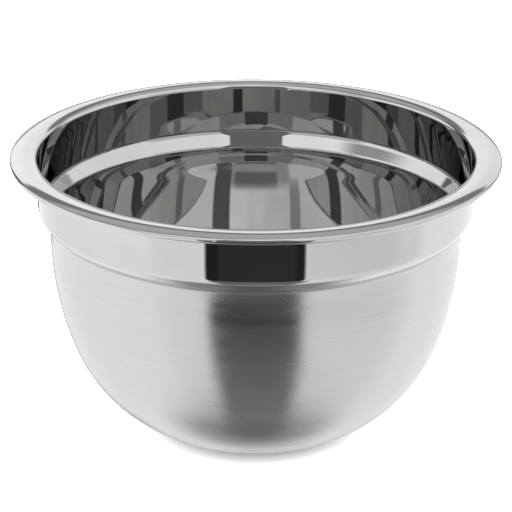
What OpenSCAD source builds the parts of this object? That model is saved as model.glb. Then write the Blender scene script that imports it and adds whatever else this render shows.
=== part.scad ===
// Deep mixing bowl, drawn and spun from one disc of stainless steel sheet.
// Its section runs from the centre of the flat base, up the round body, out over
// the shoulder, up the straight collar and over into a hollow rolled rim.
// Origin: centre of the base's underside. +Z is up the bowl's axis. Millimetres.

/* [Sheet] */
// Thickness of the steel sheet
sheet = 0.7; // [0.5:0.1:1.0]

/* [Rim] */
// Outside diameter over the rolled rim
rim_d = 242; // [236:1:250]
// Outside radius of the round roll at the rim's edge
roll_r = 1.5; // [1.3:0.1:2.0]
// How far the sheet is curled round in the roll, in degrees
roll_sweep = 255; // [180:5:265]
// Radius of the bend from the collar out into the rim, on the inside of the bowl
neck_r = 2.3; // [1.5:0.1:3.5]

/* [Collar] */
// Outside diameter of the straight collar
collar_d = 216; // [213:0.5:218]
// Height of the straight part of the collar
collar_h = 22.8; // [18:0.1:28]

/* [Shoulder] */
// Outside radius of the bend from the collar into the shoulder's cone
shoulder_top_r = 6; // [4:0.5:10]
// Lean of the shoulder's cone, in degrees from upright
shoulder_lean = 38; // [30:1:50]
// Outside radius of the crease between the cone and the body
crease_r = 2.5; // [1.5:0.5:6]
// Lean of the body just below the crease, in degrees from upright
flare_lean = 8; // [1:1:12]
// Outside radius of the gentle flare of the body up to the crease
flare_r = 70; // [40:5:100]

/* [Body] */
// Outside diameter of the body just below the shoulder
body_d = 204.6; // [200:0.2:208]
// Outside radius of the gentle curve of the upper wall
wall_r = 152; // [130:2:180]
// Lean of the wall where it meets the belly, in degrees from upright
wall_lean = 21.5; // [16:0.5:26]
// Outside radius of the round belly
belly_r = 75; // [66:1:84]
// Lean of the belly where it meets the base bend, in degrees from upright
belly_lean = 68.5; // [60:0.5:75]
// Outside radius of the bend between the belly and the flat base
base_bend_r = 39; // [20:1:60]

/* [Hidden] */

// Most that a straight facet may stray from an arc of the section
chord_error = 0.01;
// Facets in a full turn of the bowl
turn_facets = 180;

// Slopes of the rim's top, in degrees from level, where its three bends meet:
// it rises outwards from the neck to the crown, and falls outwards from the crown to the roll
neck_slope = 16.2;
edge_slope = 18.3;

rim_r = rim_d / 2;
collar_r = collar_d / 2;
body_r = body_d / 2;

// Radius of the flat base, and the heights at which the stretches of wall meet
base_r = body_r - wall_r * (1 - cos(wall_lean))
    - belly_r * (cos(wall_lean) - cos(belly_lean))
    - base_bend_r * cos(belly_lean);
body_top = base_bend_r * (1 - sin(belly_lean))
    + belly_r * (sin(belly_lean) - sin(wall_lean))
    + wall_r * sin(wall_lean);

// The shoulder: a flare at the top of the body, a tight crease, and a cone up to the collar
flare_centre = [body_r + flare_r, body_top];
crease_centre = flare_centre + (flare_r - crease_r) * [-cos(flare_lean), sin(flare_lean)];
crease_end = crease_centre + crease_r * [-cos(shoulder_lean), sin(shoulder_lean)];
cone_end_x = collar_r - shoulder_top_r * (1 - cos(shoulder_lean));
cone_end_z = crease_end.y + (cone_end_x - crease_end.x) / tan(shoulder_lean);
collar_bottom = cone_end_z + shoulder_top_r * sin(shoulder_lean);
collar_top = collar_bottom + collar_h;

// Centres of the bends, each as [distance from the axis, height]
base_bend_centre = [base_r, base_bend_r];
belly_centre = base_bend_centre + (base_bend_r - belly_r) * [cos(belly_lean), -sin(belly_lean)];
wall_centre = [body_r - wall_r, body_top];
shoulder_top_centre = [collar_r - shoulder_top_r, collar_bottom];
neck_centre = [collar_r - sheet + neck_r, collar_top];

// The rim's broad crown is one bend that joins the neck to the roll
neck_end = neck_centre + neck_r * [-sin(neck_slope), cos(neck_slope)];
crown_end_x = rim_r - roll_r * (1 - sin(edge_slope));
crown_r = (crown_end_x - neck_end.x) / (sin(neck_slope) + sin(edge_slope));
crown_centre = neck_end + crown_r * [sin(neck_slope), -cos(neck_slope)];
roll_centre = crown_centre + (crown_r - roll_r) * [sin(edge_slope), cos(edge_slope)];
crown_end = 90 - edge_slope;

// Every bend in the order in which the sheet runs, from the base to the rim's raw edge:
// [centre, radius of the outside face, radius of the inside face, start angle, end angle]
OUTSIDE = 1;
INSIDE = 2;
bends_below_cone = [
    [base_bend_centre, base_bend_r, base_bend_r - sheet, -90, -belly_lean],
    [belly_centre, belly_r, belly_r - sheet, -belly_lean, -wall_lean],
    [wall_centre, wall_r, wall_r - sheet, -wall_lean, 0],
    [flare_centre, flare_r, flare_r + sheet, 180, 180 - flare_lean],
    [crease_centre, crease_r, crease_r + sheet, 180 - flare_lean, 180 - shoulder_lean]
];
bend_above_cone =
    [shoulder_top_centre, shoulder_top_r, shoulder_top_r - sheet, -shoulder_lean, 0];
bends_above_collar = [
    [neck_centre, neck_r - sheet, neck_r, 180, 90 + neck_slope],
    [crown_centre, crown_r - sheet, crown_r, 90 + neck_slope, crown_end],
    [roll_centre, roll_r - sheet, roll_r, crown_end, crown_end - roll_sweep]
];

// Point of one face of a bend at a given angle
function bend_point(bend, side, angle) = bend[0] + bend[side] * [cos(angle), sin(angle)];

// Points of one face of a bend, without its first point, which ends the stretch before it
function bend_points(bend, side) =
    let (
        from = bend[3],
        sweep = bend[4] - bend[3],
        facet = 2 * acos(1 - chord_error / bend[OUTSIDE]),
        steps = ceil(abs(sweep) / facet)
    )
    [for (i = [1 : steps])
        bend_point(bend, side, from + sweep * i / steps)];

// Points of one whole face of the sheet, from the bowl's axis to the rim's raw edge
function face_points(side) =
    let (
        base_z = side == INSIDE ? sheet : 0,
        collar_x = side == INSIDE ? collar_r - sheet : collar_r
    )
    concat(
        [[0, base_z], [base_r, base_z]],
        [for (bend = bends_below_cone) each bend_points(bend, side)],
        [bend_point(bend_above_cone, side, bend_above_cone[3])],
        bend_points(bend_above_cone, side),
        [[collar_x, collar_top]],
        [for (bend = bends_above_collar) each bend_points(bend, side)]
    );

function reversed(list) = [for (i = [len(list) - 1 : -1 : 0]) list[i]];

module bowl() {
    color("silver")
        rotate_extrude($fn = turn_facets)
            polygon(concat(face_points(OUTSIDE), reversed(face_points(INSIDE))));
}

bowl();
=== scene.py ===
"""Looks of the deep steel mixing bowl: its sheet, its two finishes, the studio and the camera.

Metres, in the CAD's frame: origin at the centre of the base's underside, +Z up the bowl's axis.
"""
import math

import bpy
from mathutils import Matrix, Vector


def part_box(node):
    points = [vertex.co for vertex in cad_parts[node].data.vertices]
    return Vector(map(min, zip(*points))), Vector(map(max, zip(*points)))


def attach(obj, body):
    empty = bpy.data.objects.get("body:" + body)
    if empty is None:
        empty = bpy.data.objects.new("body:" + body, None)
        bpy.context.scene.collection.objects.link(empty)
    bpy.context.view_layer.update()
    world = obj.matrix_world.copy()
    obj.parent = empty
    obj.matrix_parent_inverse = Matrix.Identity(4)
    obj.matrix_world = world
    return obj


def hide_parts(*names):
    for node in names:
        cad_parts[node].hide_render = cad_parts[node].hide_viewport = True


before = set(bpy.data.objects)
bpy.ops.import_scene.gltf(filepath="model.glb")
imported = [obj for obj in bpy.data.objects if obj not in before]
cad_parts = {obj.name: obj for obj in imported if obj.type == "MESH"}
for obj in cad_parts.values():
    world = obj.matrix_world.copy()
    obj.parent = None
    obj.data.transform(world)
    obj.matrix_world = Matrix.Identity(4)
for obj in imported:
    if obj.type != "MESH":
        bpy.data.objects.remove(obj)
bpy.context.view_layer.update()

NODE = "bowl"
MM = 0.001

# ---------------------------------------------------------------- dimensions
# The same sheet as the CAD part, in millimetres, from its named dimensions.
SHEET = 0.7
RIM_R = 121.0
ROLL_R = 1.5
ROLL_SWEEP = 255.0
NECK_R = 2.3
NECK_SLOPE = 16.2
EDGE_SLOPE = 18.3
COLLAR_R = 108.0
COLLAR_H = 22.8
SHOULDER_TOP_R = 6.0
SHOULDER_LEAN = 38.0
CREASE_R = 2.5
FLARE_LEAN = 8.0
FLARE_R = 70.0
BODY_R = 102.3
WALL_R = 152.0
WALL_LEAN = 21.5
BELLY_R = 75.0
BELLY_LEAN = 68.5
BASE_BEND_R = 39.0

CHORD_ERROR = 0.003     # most that a facet may stray from the section's arc
TURN = 264              # facets in a full turn
BASE_RINGS = (0.0, 0.3, 0.6, 0.85, 1.0)     # rings of points on the flat base, as shares of its radius
COLLAR_RINGS = (0.25, 0.5, 0.75, 1.0)       # the same up the straight collar, as shares of its height
SHARP_ANGLE = 40.0      # an edge between facets is shaded sharp past this, in degrees

# Where a bend's row holds the radius of each face of the sheet
OUTSIDE, INSIDE = 1, 2
# Material slots of the skin's two finishes
POLISHED, BRUSHED = 0, 1


def sin(degrees):
    return math.sin(math.radians(degrees))


def cos(degrees):
    return math.cos(math.radians(degrees))


def polar(centre, radius, angle):
    return centre[0] + radius * cos(angle), centre[1] + radius * sin(angle)


def bend_points(bend, side):
    """Points of one face of a bend, without its first point, which ends the stretch before it."""
    centre, start, end = bend[0], bend[3], bend[4]
    facet = math.degrees(2 * math.acos(1 - CHORD_ERROR / bend[OUTSIDE]))
    steps = math.ceil(abs(end - start) / facet)
    return [polar(centre, bend[side], start + (end - start) * i / steps) for i in range(1, steps + 1)]


def section():
    """The sheet's two faces as lists of (radius, height), each from the axis to the rim's raw edge,
    and the number of the outside point, in the crease, at which the brushing ends."""
    base_r = (BODY_R - WALL_R * (1 - cos(WALL_LEAN)) - BELLY_R * (cos(WALL_LEAN) - cos(BELLY_LEAN))
              - BASE_BEND_R * cos(BELLY_LEAN))
    body_top = (BASE_BEND_R * (1 - sin(BELLY_LEAN)) + BELLY_R * (sin(BELLY_LEAN) - sin(WALL_LEAN))
                + WALL_R * sin(WALL_LEAN))

    # The shoulder: a flare at the top of the body, a tight crease, and a cone up to the collar
    flare = (BODY_R + FLARE_R, body_top)
    crease = polar(flare, FLARE_R - CREASE_R, 180 - FLARE_LEAN)
    crease_end = polar(crease, CREASE_R, 180 - SHOULDER_LEAN)
    cone_end_x = COLLAR_R - SHOULDER_TOP_R * (1 - cos(SHOULDER_LEAN))
    cone_width = cone_end_x - crease_end[0]
    cone_end_z = crease_end[1] + cone_width * cos(SHOULDER_LEAN) / sin(SHOULDER_LEAN)
    collar_bottom = cone_end_z + SHOULDER_TOP_R * sin(SHOULDER_LEAN)
    collar_top = collar_bottom + COLLAR_H

    # Centres of the other bends; the rim's broad crown is one bend that joins the neck to the roll
    base_bend = (base_r, BASE_BEND_R)
    belly = polar(base_bend, BASE_BEND_R - BELLY_R, -BELLY_LEAN)
    wall = (BODY_R - WALL_R, body_top)
    shoulder_top = (COLLAR_R - SHOULDER_TOP_R, collar_bottom)
    neck = (COLLAR_R - SHEET + NECK_R, collar_top)
    neck_end = polar(neck, NECK_R, 90 + NECK_SLOPE)
    crown_end_x = RIM_R - ROLL_R * (1 - sin(EDGE_SLOPE))
    crown_r = (crown_end_x - neck_end[0]) / (sin(NECK_SLOPE) + sin(EDGE_SLOPE))
    crown = polar(neck_end, crown_r, NECK_SLOPE - 90)
    roll = polar(crown, crown_r - ROLL_R, 90 - EDGE_SLOPE)

    # (centre, radius of the outside face, radius of the inside face, start angle, end angle)
    bends_below_cone = [
        (base_bend, BASE_BEND_R, BASE_BEND_R - SHEET, -90, -BELLY_LEAN),
        (belly, BELLY_R, BELLY_R - SHEET, -BELLY_LEAN, -WALL_LEAN),
        (wall, WALL_R, WALL_R - SHEET, -WALL_LEAN, 0),
        (flare, FLARE_R, FLARE_R + SHEET, 180, 180 - FLARE_LEAN),
        (crease, CREASE_R, CREASE_R + SHEET, 180 - FLARE_LEAN, 180 - SHOULDER_LEAN),
    ]
    bend_above_cone = (shoulder_top, SHOULDER_TOP_R, SHOULDER_TOP_R - SHEET, -SHOULDER_LEAN, 0)
    bends_above_collar = [
        (neck, NECK_R - SHEET, NECK_R, 180, 90 + NECK_SLOPE),
        (crown, crown_r - SHEET, crown_r, 90 + NECK_SLOPE, 90 - EDGE_SLOPE),
        (roll, ROLL_R - SHEET, ROLL_R, 90 - EDGE_SLOPE, 90 - EDGE_SLOPE - ROLL_SWEEP),
    ]

    def face(side):
        height = SHEET if side == INSIDE else 0.0
        points = [(base_r * share, height) for share in BASE_RINGS]
        for bend in bends_below_cone:
            points += bend_points(bend, side)
        brushing_end = len(points) - 2      # one facet short of the crease's end
        points.append(polar(shoulder_top, bend_above_cone[side], -SHOULDER_LEAN))
        points += bend_points(bend_above_cone, side)
        collar_x = points[-1][0]
        points += [(collar_x, collar_bottom + COLLAR_H * share) for share in COLLAR_RINGS]
        for bend in bends_above_collar:
            points += bend_points(bend, side)
        return points, brushing_end

    outside, brushing_end = face(OUTSIDE)
    inside, _ = face(INSIDE)
    return outside, inside, brushing_end


def sheet_mesh():
    """One closed skin: the outside face, over the raw edge, and back down the inside face."""
    outside, inside, brushing_end = section()
    profile = outside[1:] + inside[:0:-1]     # without the two points on the axis
    brushed_rings = brushing_end - 1
    vertices = []
    for radius, height in profile:
        for i in range(TURN):
            angle = 2 * math.pi * i / TURN
            vertices.append((radius * MM * math.cos(angle), radius * MM * math.sin(angle), height * MM))
    under_centre = len(vertices)
    floor_centre = under_centre + 1
    vertices += [(0, 0, outside[0][1] * MM), (0, 0, inside[0][1] * MM)]
    faces, finishes = [], []
    for ring in range(len(profile) - 1):
        for i in range(TURN):
            j = (i + 1) % TURN
            a, b = ring * TURN, (ring + 1) * TURN
            faces.append((a + i, a + j, b + j, b + i))
            finishes.append(BRUSHED if ring < brushed_rings else POLISHED)
    last = (len(profile) - 1) * TURN
    for i in range(TURN):
        j = (i + 1) % TURN
        faces.append((under_centre, j, i))
        finishes.append(BRUSHED)
        faces.append((floor_centre, last + i, last + j))
        finishes.append(POLISHED)
    mesh = bpy.data.meshes.new("steel_sheet")
    mesh.from_pydata(vertices, [], faces)
    mesh.polygons.foreach_set("material_index", finishes)
    mesh.polygons.foreach_set("use_smooth", [True] * len(faces))
    mesh.update()
    mesh.validate()
    mesh.set_sharp_from_angle(angle=math.radians(SHARP_ANGLE))
    return mesh


# ---------------------------------------------------------------- node helpers
class Nodes:
    """A short way to lay out a node tree."""

    def __init__(self, tree):
        self.tree = tree

    def add(self, kind, inputs=None, **settings):
        node = self.tree.nodes.new("ShaderNode" + kind)
        for key, value in settings.items():
            setattr(node, key, value)
        for key, value in (inputs or {}).items():
            self.put(node.inputs[key], value)
        return node

    def put(self, socket, value):
        """Link another node's output to a socket, or set its number or colour."""
        if isinstance(value, bpy.types.NodeSocket):
            self.tree.links.new(value, socket)
        else:
            socket.default_value = value

    def math(self, operation, *values):
        node = self.add("Math", operation=operation)
        for socket, value in zip(node.inputs, values):
            self.put(socket, value)
        return node.outputs[0]

    def vector(self, x, y, z):
        return self.add("CombineXYZ", {"X": x, "Y": y, "Z": z}).outputs[0]

    def ramp(self, value, low, high, to_low=0.0, to_high=1.0):
        """A smooth step from to_low to to_high, as the value goes from low to high."""
        node = self.add("MapRange", clamp=True, interpolation_type="SMOOTHSTEP")
        for key, v in (("Value", value), ("From Min", low), ("From Max", high),
                       ("To Min", to_low), ("To Max", to_high)):
            self.put(node.inputs[key], v)
        return node.outputs["Result"]

    def mix(self, kind, factor, a, b):
        node = self.add("Mix", data_type=kind)
        for key, v in (("Factor", factor), ("A", a), ("B", b)):
            self.put(node.inputs[key], v)
        return node.outputs["Result"]

    def noise(self, place, around, along, scale, detail, roughness=0.5):
        """Noise on the turned sheet. A larger around makes it finer round the bowl, and a larger
        along makes it finer up the section."""
        ux, uy, run = place
        vector = self.vector(self.math("MULTIPLY", ux, around), self.math("MULTIPLY", uy, around),
                             self.math("MULTIPLY", run, along))
        node = self.add("TexNoise", {"Vector": vector, "Scale": scale, "Detail": detail,
                                     "Roughness": roughness})
        return node.outputs["Fac"]


# The distance run along the section is taken from its angle about a point on the bowl's axis
RUN_CENTRE_Z = 0.098    # height of that point, in metres
RUN_RADIUS = 0.1        # metres of run for one radian
AXIS_GAP = 1e-4         # least distance from the axis, in metres, which keeps the divisions finite


def place_on_the_sheet(n):
    """Sockets for a place on the turned sheet: unit x, unit y, and the distance run along the
    section, in metres."""
    position = n.add("TexCoord").outputs["Object"]
    x, y, z = n.add("SeparateXYZ", {"Vector": position}).outputs
    squares = n.math("ADD", n.math("MULTIPLY", x, x), n.math("MULTIPLY", y, y))
    radius = n.math("MAXIMUM", n.math("SQRT", squares), AXIS_GAP)
    turn = n.math("ARCTAN2", n.math("SUBTRACT", z, RUN_CENTRE_Z), radius)
    run = n.math("MULTIPLY", turn, RUN_RADIUS)
    return n.math("DIVIDE", x, radius), n.math("DIVIDE", y, radius), run


def new_material(name):
    material = bpy.data.materials.new(name)
    material.use_nodes = True
    tree = material.node_tree
    tree.nodes.clear()
    n = Nodes(tree)
    out = n.add("OutputMaterial")
    shader = n.add("BsdfPrincipled")
    tree.links.new(shader.outputs[0], out.inputs["Surface"])
    return material, n, shader


BUMP_DEPTH = 0.0002     # metres from the lowest to the highest of either finish's relief, at full strength


def finish_steel(n, shader, colour, roughness, relief, strength):
    """Set a metal shader's colour, roughness and relief."""
    bump = n.add("Bump", {"Strength": strength, "Distance": BUMP_DEPTH, "Height": relief})
    n.put(shader.inputs["Base Color"], colour)
    n.put(shader.inputs["Metallic"], 1.0)
    n.put(shader.inputs["Roughness"], roughness)
    n.put(shader.inputs["Normal"], bump.outputs[0])


def polished_steel():
    """Mirror polish, with the faint flutes and rings that spinning leaves and a little handling haze."""
    material, n, shader = new_material("steel_mirror")
    place = place_on_the_sheet(n)
    flutes = n.noise(place, around=1.0, along=3.0, scale=7.0, detail=2.0)
    rings = n.noise(place, around=0.05, along=1.0, scale=260.0, detail=2.0)
    haze = n.noise(place, around=1.0, along=12.0, scale=3.0, detail=4.0, roughness=0.6)
    scratch = n.noise(place, around=1.5, along=900.0, scale=2.0, detail=3.0, roughness=0.7)
    tone = n.ramp(haze, 0.3, 0.7)
    colour = n.mix("RGBA", tone, (0.545, 0.54, 0.53, 1), (0.59, 0.585, 0.578, 1))
    roughness = n.math("ADD", n.ramp(haze, 0.35, 0.75, 0.006, 0.02),
                       n.ramp(scratch, 0.62, 0.8, 0.0, 0.008))
    relief = n.math("ADD", flutes, n.math("MULTIPLY", rings, 0.01))
    finish_steel(n, shader, colour, roughness, relief, strength=0.06)
    return material


def brushed_steel():
    """Satin brushing that runs round the bowl, so reflections smear up and down it."""
    material, n, shader = new_material("steel_satin")
    place = place_on_the_sheet(n)
    fine = n.noise(place, around=1.0, along=1400.0, scale=2.0, detail=4.0, roughness=0.75)
    broad = n.noise(place, around=0.6, along=90.0, scale=2.0, detail=3.0, roughness=0.6)
    tone = n.math("ADD", n.math("MULTIPLY", fine, 0.6), n.math("MULTIPLY", broad, 0.4))
    colour = n.mix("RGBA", tone, (0.48, 0.479, 0.475, 1), (0.67, 0.669, 0.665, 1))
    roughness = n.ramp(broad, 0.3, 0.7, 0.21, 0.28)
    finish_steel(n, shader, colour, roughness, fine, strength=0.07)
    tangent = n.add("Tangent", direction_type="RADIAL", axis="Z")
    n.put(shader.inputs["Tangent"], tangent.outputs[0])
    n.put(shader.inputs["Anisotropic"], 0.88)
    n.put(shader.inputs["Anisotropic Rotation"], 0.25)
    return material


# ---------------------------------------------------------------- the bowl
bowl = bpy.data.objects.new("steel_bowl", sheet_mesh())
bpy.context.scene.collection.objects.link(bowl)
bowl.data.materials.append(polished_steel())
bowl.data.materials.append(brushed_steel())
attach(bowl, "root")
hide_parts(NODE)

# ---------------------------------------------------------------- the studio
scene = bpy.context.scene
scene.cycles.glossy_bounces = 12      # light runs many times round the inside of a polished bowl
scene.cycles.min_light_bounces = 12   # and a path cut short by chance would show as grain there

FLOOR_RADIUS = 3.0      # of the floor's flat part, in metres
FLOOR_BEND = 1.0        # radius of the bend up into the wall
WALL_HEIGHT = 3.0
FLOOR_FACETS = 96       # round the floor

FLOOR_LIGHT = 40.0      # strength of the lamp that whitens the floor
FLOOR_LIGHT_SPREAD = 150    # its width across the sky, in degrees, which keeps the shadow faint


def studio_floor():
    """A pale round floor that turns up into a wall all the way round."""
    profile = [(0.0, 0.0), (0.5, 0.0), (1.5, 0.0), (FLOOR_RADIUS, 0.0)]
    profile += [(FLOOR_RADIUS + FLOOR_BEND * sin(a), FLOOR_BEND * (1 - cos(a))) for a in range(10, 91, 10)]
    profile.append((FLOOR_RADIUS + FLOOR_BEND, FLOOR_BEND + WALL_HEIGHT))
    turns = [2 * math.pi * i / FLOOR_FACETS for i in range(FLOOR_FACETS)]
    vertices = [(0, 0, 0)]
    for radius, height in profile[1:]:
        vertices += [(radius * math.cos(turn), radius * math.sin(turn), height) for turn in turns]
    faces = [(0, 1 + i, 1 + (i + 1) % FLOOR_FACETS) for i in range(FLOOR_FACETS)]
    for ring in range(len(profile) - 2):
        a, b = 1 + ring * FLOOR_FACETS, 1 + (ring + 1) * FLOOR_FACETS
        for i in range(FLOOR_FACETS):
            j = (i + 1) % FLOOR_FACETS
            faces.append((a + i, b + i, b + j, a + j))
    mesh = bpy.data.meshes.new("studio_floor")
    mesh.from_pydata(vertices, [], faces)
    mesh.polygons.foreach_set("use_smooth", [True] * len(faces))
    mesh.update()
    material, n, shader = new_material("pale_floor")
    n.put(shader.inputs["Base Color"], (0.9, 0.9, 0.9, 1))
    n.put(shader.inputs["Roughness"], 0.9)
    n.put(shader.inputs["Specular IOR Level"], 0.0)
    mesh.materials.append(material)
    floor = bpy.data.objects.new("studio_floor", mesh)
    scene.collection.objects.link(floor)
    lowest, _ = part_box(NODE)
    floor.location.z = lowest.z
    floor.visible_glossy = False      # the steel mirrors the panels of studio_light() instead
    floor.visible_diffuse = False


def studio_light():
    """Soft light from all round, as white panels with unlit gaps between them and one small lamp.

    It is laid as a stack: each panel covers what is under it. Angles are in degrees: azimuth 0 is
    the camera's side and positive to its right, and elevation 0 is level."""
    world = bpy.data.worlds.new("studio")
    scene.world = world
    world.use_nodes = True
    tree = world.node_tree
    tree.nodes.clear()
    n = Nodes(tree)
    direction = n.add("TexCoord").outputs["Generated"]
    x, y, z = n.add("SeparateXYZ", {"Vector": direction}).outputs
    to_degrees = 180 / math.pi
    azimuth = n.math("MULTIPLY", n.math("ARCTAN2", x, n.math("MULTIPLY", y, -1.0)), to_degrees)
    elevation = n.math("MULTIPLY", n.math("ARCSINE", z), to_degrees)
    behind = n.math("SUBTRACT", 180.0, n.math("ABSOLUTE", azimuth))     # 0 opposite the camera

    def panel(under, level, across, up, soft_across=2.0, soft_up=4.0, angle=azimuth):
        """Lay a panel of one brightness, between two angles across and two elevations, over the
        light. Its edges fade over soft_across and soft_up to either side."""
        left, right = across
        low, high = up
        edges = (n.ramp(angle, left - soft_across, left + soft_across),
                 n.ramp(angle, right - soft_across, right + soft_across, 1.0, 0.0),
                 n.ramp(elevation, low - soft_up, low + soft_up),
                 n.ramp(elevation, high - soft_up, high + soft_up, 1.0, 0.0))
        mask = edges[0]
        for edge in edges[1:]:
            mask = n.math("MULTIPLY", mask, edge)
        return n.mix("FLOAT", mask, under, level)

    light = 1.2                                                       # white studio all round

    # Bright panels at the sides and behind the bowl
    light = panel(light, 1.08, (24, 178), (4, 95), 6.0)               # right-hand panel
    light = panel(light, 1.14, (-20, 8), (-95, 95), 6.0, 4.0, behind)  # strip opposite the camera
    light = panel(light, 1.04, (24, 95), (-80, 4), 6.0)               # right-hand panel, below level
    light = panel(light, 0.92, (24, 80), (-29, 4), 6.0, 3.0)          # its dimmer band near level
    light = panel(light, 1.08, (-55, -24), (-80, 4), 6.0)             # edge of the left-hand panel

    # Unlit parts of the room, which darken the inside
    light = panel(light, 0.07, (-174, -161), (-42, -4), 2.0)          # behind and below, left
    light = panel(light, 0.44, (166, 176), (-42, -4), 2.0)            # behind and below, right
    light = panel(light, 0.46, (-162, -64), (36, 95), 8.0, 5.0)       # ceiling, left
    light = panel(light, 0.3, (-150, -122), (36, 58), 2.0, 3.0)       # its darkest part
    light = panel(light, 0.6, (-20, 42), (-6, 11), 4.0, 2.0, behind)  # wall behind, low down

    # The lit backdrop behind the bowl, and the ceiling over it
    light = panel(light, 1.35, (-185, -146), (12, 27), 2.0, 1.5)      # backdrop, left
    light = panel(light, 1.12, (146, 185), (12, 27), 2.0, 1.5)        # backdrop, right
    light = panel(light, 1.24, (-20, 9), (12, 27), 6.0, 1.5, behind)  # backdrop, middle
    light = panel(light, 0.6, (-20, 42), (27, 62), 4.0, 1.5, behind)  # ceiling
    light = panel(light, 0.28, (-20, 26), (27, 35), 3.0, 1.5, behind)  # dark edge over the backdrop
    light = panel(light, 0.3, (-20, 42), (60, 66), 4.0, 1.5, behind)  # dark strip farther up
    light = panel(light, 0.19, (-150, -130), (-4, 38), 1.5, 3.0)      # black flag, back left
    light = panel(light, 0.5, (128, 140), (0, 28), 1.5, 3.0)          # grey flag, back right

    # Gaps on the camera's side, above level
    light = panel(light, 0.66, (-62, 62), (9, 32), 3.0, 3.0)          # between side and top panels
    light = panel(light, 0.2, (-19.5, 19.5), (3, 62), 1.0, 2.0)       # at the camera

    # The floor's fall-off under the bowl
    light = panel(light, 0.33, (-185, 185), (-95, -66), 1.0, 9.0)     # close to the bowl
    light = panel(light, 0.13, (-185, 185), (-95, -80), 1.0, 5.0)     # right under it

    # The gap at the camera, below level
    light = panel(light, 0.2, (-27, 31), (-68, -38), 1.5, 3.0)        # floor in front of the bowl
    light = panel(light, 0.2, (-25.5, 25.5), (-45, 4), 1.2, 3.0)      # the gap's whole width
    light = panel(light, 0.022, (-25.5, 25.5), (-34, -8), 1.2, 4.0)   # its black edges
    light = panel(light, 0.04, (-19, 21), (-34, -8), 1.5, 4.0)        # its middle, a little paler
    light = panel(light, 4.4, (-18.6, -17.0), (0, 8), 0.6, 2.0)       # small lamp beside the camera

    background = n.add("Background", {"Color": (1, 1, 1, 1), "Strength": light})
    out = n.add("OutputWorld")
    tree.links.new(background.outputs[0], out.inputs["Surface"])


def floor_light():
    """A broad lamp overhead that keeps the floor white. The steel doesn't mirror it."""
    sun = bpy.data.lights.new("floor_light", "SUN")
    sun.energy = FLOOR_LIGHT
    sun.angle = math.radians(FLOOR_LIGHT_SPREAD)
    lamp = bpy.data.objects.new("floor_light", sun)
    scene.collection.objects.link(lamp)
    lamp.visible_glossy = False


studio_floor()
studio_light()
floor_light()

# ---------------------------------------------------------------- the camera
CAMERA_PLACE = Vector((0.0003, -0.93377, 0.46597))
LOOK_DOWN = 22.042      # degrees below level
ROLL = 0.005581         # radians about the line of sight

lens = bpy.data.cameras.new("camera")
lens.sensor_width = 36.0
lens.lens = 140.625     # millimetres: the view is 14.6 degrees wide
lens.clip_start = 0.01
lens.clip_end = 100.0
camera = bpy.data.objects.new("camera", lens)
scene.collection.objects.link(camera)
camera.matrix_world = (Matrix.Translation(CAMERA_PLACE)
                       @ Matrix.Rotation(math.radians(90 - LOOK_DOWN), 4, "X")
                       @ Matrix.Rotation(ROLL, 4, "Z"))
scene.camera = camera
scene.view_settings.view_transform = "Standard"
scene.view_settings.look = "None"
